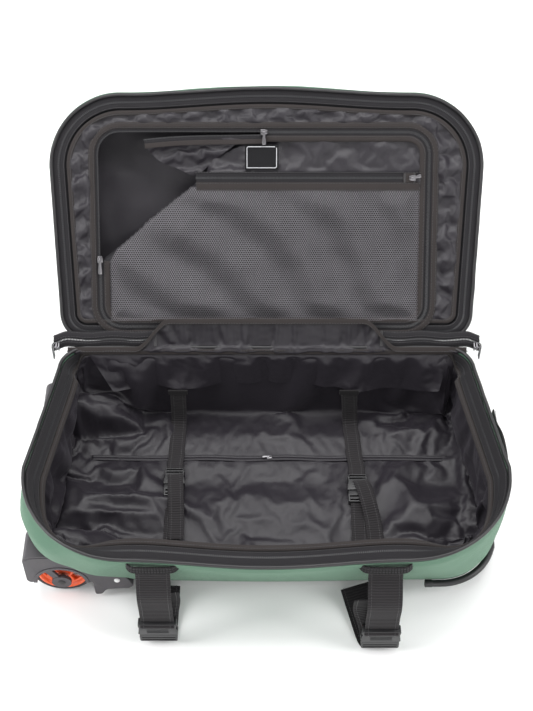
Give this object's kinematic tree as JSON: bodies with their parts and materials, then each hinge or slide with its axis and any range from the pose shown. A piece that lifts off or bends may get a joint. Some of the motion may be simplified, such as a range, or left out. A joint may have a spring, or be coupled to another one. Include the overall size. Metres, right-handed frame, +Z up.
{
  "type": "softside two-wheel suitcase",
  "caption": "Softside wheeled suitcase lying open on its back, with a zipped lid panel, mesh pocket, packing straps, side-release buckles, recessed wheels and a telescopic handle.",
  "frame": {"origin": "on the ground, under the middle of the box around the open case", "axes": "+X towards the telescopic handle, -X towards the wheels, +Y towards the lid's hinge side, +Z up from the back panel on which the case lies"},
  "size_m": [0.7495, 0.7462, 0.5224],
  "materials": {
    "shell_fabric": "woven polyester, matt sage green",
    "lining_fabric": "thin plain-woven nylon lining, slight sheen",
    "zip_tape": "black woven zip tape with moulded teeth",
    "piping": "black corded piping",
    "webbing": "black ribbed polypropylene webbing",
    "mesh_fabric": "dark honeycomb mesh",
    "patch_fabric": "blank woven patch with a light border",
    "black_plastic": "moulded black nylon",
    "grey_plastic": "moulded dark grey, fine texture",
    "orange_plastic": "moulded orange, satin",
    "tyre_rubber": "grey moulded tread",
    "zinc": "die-cast zinc, satin nickel",
    "steel": "turned steel",
    "aluminium": "drawn aluminium tube",
    "base_board": "extruded plastic board"
  },
  "bodies": {
    "case": {"tub_shell": "shell_fabric", "tub_lining": "lining_fabric", "tub_zip_tape": "zip_tape", "tub_piping": "piping", "base_board": "base_board", "hinge_tape": "zip_tape", "wheel_housing_front": "grey_plastic", "wheel_housing_rear": "grey_plastic", "axle_front": "steel", "axle_rear": "steel", "end_guard": "black_plastic", "grab_handle": "webbing", "floor_zip": "zip_tape", "handle_bezel": "black_plastic", "tube_bracket": "black_plastic", "outer_tube_front": "aluminium", "outer_tube_rear": "aluminium", "outer_strap_left_upper": "webbing", "outer_strap_right_upper": "webbing", "outer_strap_left_lower": "webbing", "outer_strap_right_lower": "webbing", "outer_buckle_left_plug": "black_plastic", "outer_buckle_right_plug": "black_plastic", "inner_strap_left_rear": "webbing", "inner_strap_right_rear": "webbing", "inner_strap_left_front": "webbing", "inner_strap_right_front": "webbing", "inner_buckle_left_socket": "black_plastic", "inner_buckle_right_socket": "black_plastic"},
    "wheel_front": {"tyre_front": "tyre_rubber", "hub_front": "orange_plastic"},
    "wheel_rear": {"tyre_rear": "tyre_rubber", "hub_rear": "orange_plastic"},
    "trolley": {"grip": "black_plastic", "inner_tube_front": "aluminium", "inner_tube_rear": "aluminium"},
    "button": {"release_button": "grey_plastic"},
    "lid": {"lid_shell": "shell_fabric", "lid_lining": "lining_fabric", "lid_piping": "piping", "lid_zip_tape": "zip_tape", "lid_border": "lining_fabric", "panel_zip": "zip_tape", "lid_panel": "lining_fabric", "mesh_pocket": "mesh_fabric", "pocket_zip": "zip_tape", "label_patch": "patch_fabric"},
    "panel_slider_left": {"panel_slider_left": "black_plastic"},
    "panel_slider_top": {"panel_slider_top": "black_plastic"},
    "pocket_slider": {"pocket_slider": "black_plastic"},
    "floor_slider": {"floor_zip_slider": "zinc"},
    "zip_slider_left": {"zip_slider_left": "zinc"},
    "zip_slider_right": {"zip_slider_right": "zinc"},
    "zip_pull_left": {"zip_pull_left": "zinc"},
    "zip_pull_right": {"zip_pull_right": "zinc"},
    "outer_socket_left": {"outer_buckle_left_socket": "black_plastic"},
    "outer_socket_right": {"outer_buckle_right_socket": "black_plastic"},
    "inner_plug_left": {"inner_buckle_left_plug": "black_plastic"},
    "inner_plug_right": {"inner_buckle_right_plug": "black_plastic"}
  },
  "joints": [
    {"name": "lid_hinge", "type": "hinge", "parent": "case", "child": "lid", "pos_m": [0, 0.0694, 0.21], "axis": [-1, 0, 0], "range_deg": [-130, 50]},
    {"name": "wheel_front_spin", "type": "hinge", "parent": "case", "child": "wheel_front", "pos_m": [-0.317, -0.2536, 0.046], "axis": [0, 1, 0], "continuous": true},
    {"name": "wheel_rear_spin", "type": "hinge", "parent": "case", "child": "wheel_rear", "pos_m": [-0.317, 0.0364, 0.046], "axis": [0, 1, 0], "continuous": true},
    {"name": "handle_slide", "type": "slide", "parent": "case", "child": "trolley", "axis": [1, 0, 0], "range_m": [0, 0.4]},
    {"name": "button_press", "type": "slide", "parent": "trolley", "child": "button", "axis": [-1, 0, 0], "range_m": [0, 0.0035], "stiffness_N_per_m": 600, "springref_m": -0.001},
    {"name": "panel_slider_left_run", "type": "slide", "parent": "lid", "child": "panel_slider_left", "axis": [0, -0.6428, -0.766], "range_m": [0, 0.08]},
    {"name": "panel_slider_top_run", "type": "slide", "parent": "lid", "child": "panel_slider_top", "axis": [1, 0, 0], "range_m": [0, 0.2]},
    {"name": "pocket_slider_run", "type": "slide", "parent": "lid", "child": "pocket_slider", "axis": [-1, 0, 0], "range_m": [0, 0.33]},
    {"name": "floor_slider_run", "type": "slide", "parent": "case", "child": "floor_slider", "axis": [1, 0, 0], "range_m": [-0.12, 0.11]},
    {"name": "zip_slider_left_run", "type": "slide", "parent": "case", "child": "zip_slider_left", "axis": [-0.148, -0.989, 0], "range_m": [0, 0.13]},
    {"name": "zip_slider_right_run", "type": "slide", "parent": "case", "child": "zip_slider_right", "axis": [0.148, -0.989, 0], "range_m": [0, 0.13]},
    {"name": "zip_pull_left_swing", "type": "hinge", "parent": "zip_slider_left", "child": "zip_pull_left", "pos_m": [-0.3477, 0.0644, 0.21], "axis": [0, 1, 0], "range_deg": [-5, 150]},
    {"name": "zip_pull_right_swing", "type": "hinge", "parent": "zip_slider_right", "child": "zip_pull_right", "pos_m": [0.3477, 0.0644, 0.21], "axis": [0, -1, 0], "range_deg": [-5, 150]},
    {"name": "outer_buckle_left_release", "type": "slide", "parent": "case", "child": "outer_socket_left", "axis": [0, 0, 1], "range_m": [0, 0.03], "deforming": ["outer_strap_left_upper"]},
    {"name": "inner_buckle_left_release", "type": "slide", "parent": "case", "child": "inner_plug_left", "axis": [0, -1, 0], "range_m": [0, 0.03], "deforming": ["inner_strap_left_front"]},
    {"name": "outer_buckle_right_release", "type": "slide", "parent": "case", "child": "outer_socket_right", "axis": [0, 0, 1], "range_m": [0, 0.03], "deforming": ["outer_strap_right_upper"]},
    {"name": "inner_buckle_right_release", "type": "slide", "parent": "case", "child": "inner_plug_right", "axis": [0, -1, 0], "range_m": [0, 0.03], "deforming": ["inner_strap_right_front"]}
  ]
}
